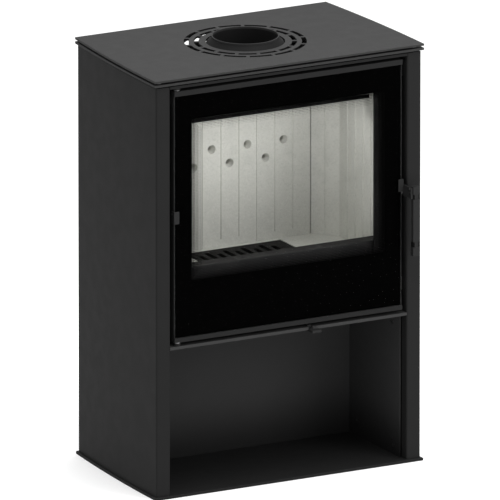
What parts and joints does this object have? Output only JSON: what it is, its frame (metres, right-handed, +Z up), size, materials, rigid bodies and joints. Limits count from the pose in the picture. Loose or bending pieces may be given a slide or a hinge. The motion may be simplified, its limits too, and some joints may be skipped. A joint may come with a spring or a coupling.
{
  "type": "wood burning stove",
  "caption": "Free-standing steel wood burning stove: glazed hinged door, vermiculite-lined firebox, flue collar on top and an open log store below.",
  "frame": {"origin": "on the floor, at the centre of the base plate's plan", "axes": "+Z up through the flue collar, +Y to the back, +X to the right of someone facing the door"},
  "size_m": [0.7, 0.4625, 1.01],
  "materials": {
    "casing_steel": "fine matt black-grey stove paint",
    "top_steel": "fine matt black-grey stove paint",
    "door_steel": "fine matt black-grey stove paint",
    "store_steel": "matt black stove paint",
    "firebox_steel": "matt heat-darkened black",
    "flue_steel": "matt black stove paint, bare bright rim",
    "galvanised_steel": "bare bracket and pin steel",
    "ceramic_glass": "clear ceramic glass with a black printed border",
    "vermiculite": "pressed light grey vermiculite board",
    "grate_iron": "cast, dark grey",
    "rope": "braided glass-fibre rope, graphite grey",
    "gasket": "flat glass-fibre tape",
    "handle_steel": "satin dark grey",
    "insulator": "black heat-resistant moulding",
    "screw_steel": "blackened steel"
  },
  "bodies": {
    "root": {"airwash_deflector": "firebox_steel", "ash_box": "firebox_steel", "ash_front": "firebox_steel", "ash_pan": "galvanised_steel", "base_plate": "casing_steel", "casing_brackets": "galvanised_steel", "casing_screws": "screw_steel", "collar_bolts": "screw_steel", "firebox_back_wall": "firebox_steel", "firebox_floor": "firebox_steel", "firebox_front_frame": "firebox_steel", "firebox_left_wall": "firebox_steel", "firebox_right_wall": "firebox_steel", "firebox_top": "firebox_steel", "floor_bricks": "vermiculite", "flue_collar": "flue_steel", "front_crossbar": "casing_steel", "grate": "grate_iron", "hinge_lugs": "firebox_steel", "hinge_pins": "galvanised_steel", "inner_top_plate": "top_steel", "latch_bracket": "firebox_steel", "latch_roller": "galvanised_steel", "left_side_panel": "casing_steel", "lining_back_centre": "vermiculite", "lining_back_left": "vermiculite", "lining_back_right": "vermiculite", "lining_left": "vermiculite", "lining_right": "vermiculite", "log_guard": "firebox_steel", "lower_baffle": "firebox_steel", "plate_spacers": "galvanised_steel", "rear_panel": "casing_steel", "right_side_panel": "casing_steel", "secondary_air_duct": "firebox_steel", "store_back_wall": "store_steel", "store_ceiling": "store_steel", "store_side_walls": "store_steel", "top_plate": "top_steel", "upper_baffle": "firebox_steel", "valve_plate": "firebox_steel"},
    "door": {"door_frame": "door_steel", "door_glass": "ceramic_glass", "glass_gasket": "gasket", "seal_channel": "firebox_steel", "rope_seal": "rope", "glass_clips": "handle_steel", "glass_clip_screws": "screw_steel", "hinge_bushes": "galvanised_steel", "handle_pivot_pin": "galvanised_steel"},
    "handle": {"handle_arm": "handle_steel", "handle_bush": "galvanised_steel", "handle_end_blocks": "handle_steel", "handle_grip": "handle_steel", "handle_core": "handle_steel", "handle_insulators": "insulator", "handle_screws": "screw_steel"},
    "air_control": {"air_slider": "firebox_steel", "air_lever": "handle_steel"}
  },
  "joints": [
    {"name": "door_hinge", "type": "hinge", "parent": "root", "child": "door", "pos_m": [-0.2855, -0.198, 0.66], "axis": [0, 0, -1], "range_deg": [0, 100]},
    {"name": "handle_lift", "type": "hinge", "parent": "door", "child": "handle", "pos_m": [0.303, -0.197, 0.6455], "axis": [-1, 0, 0], "range_deg": [0, 30]},
    {"name": "air_lever_slide", "type": "slide", "parent": "root", "child": "air_control", "axis": [0, -1, 0], "range_m": [0, 0.03]}
  ]
}
